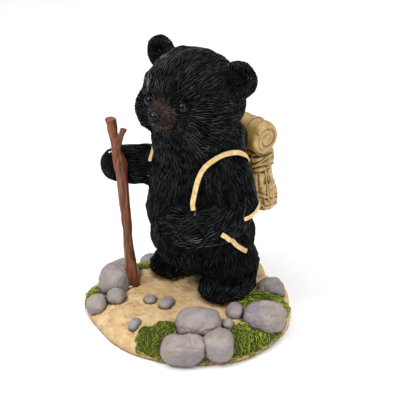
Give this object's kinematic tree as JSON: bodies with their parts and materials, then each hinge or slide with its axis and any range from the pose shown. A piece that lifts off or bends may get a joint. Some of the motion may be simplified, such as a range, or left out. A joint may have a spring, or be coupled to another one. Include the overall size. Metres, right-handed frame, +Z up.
{
  "type": "animal garden statue",
  "caption": "Small cast statue of a standing bear cub that hikes with a walking stick, a backpack and a bedroll, on a round base of sand, rocks and grass.",
  "frame": {"origin": "middle of the statue's own box on the floor, under the base", "axes": "+Z up, the bear faces -Y, its left hand is towards +X"},
  "size_m": [0.105, 0.1078, 0.1437],
  "materials": {
    "sand": "cast resin painted pale sand, grainy and matt, with grey rocks and green grass",
    "fur": "cast resin painted black with a low sheen, carved as short fur, with cream straps and glossy eyes",
    "canvas": "cast resin painted tan with a darker wash in the folds, half matt",
    "stick_wood": "cast resin painted reddish brown with dark grain, half matt"
  },
  "bodies": {
    "root": {"base": "sand", "bear": "fur", "backpack": "canvas", "walking_stick": "stick_wood"}
  },
  "joints": []
}
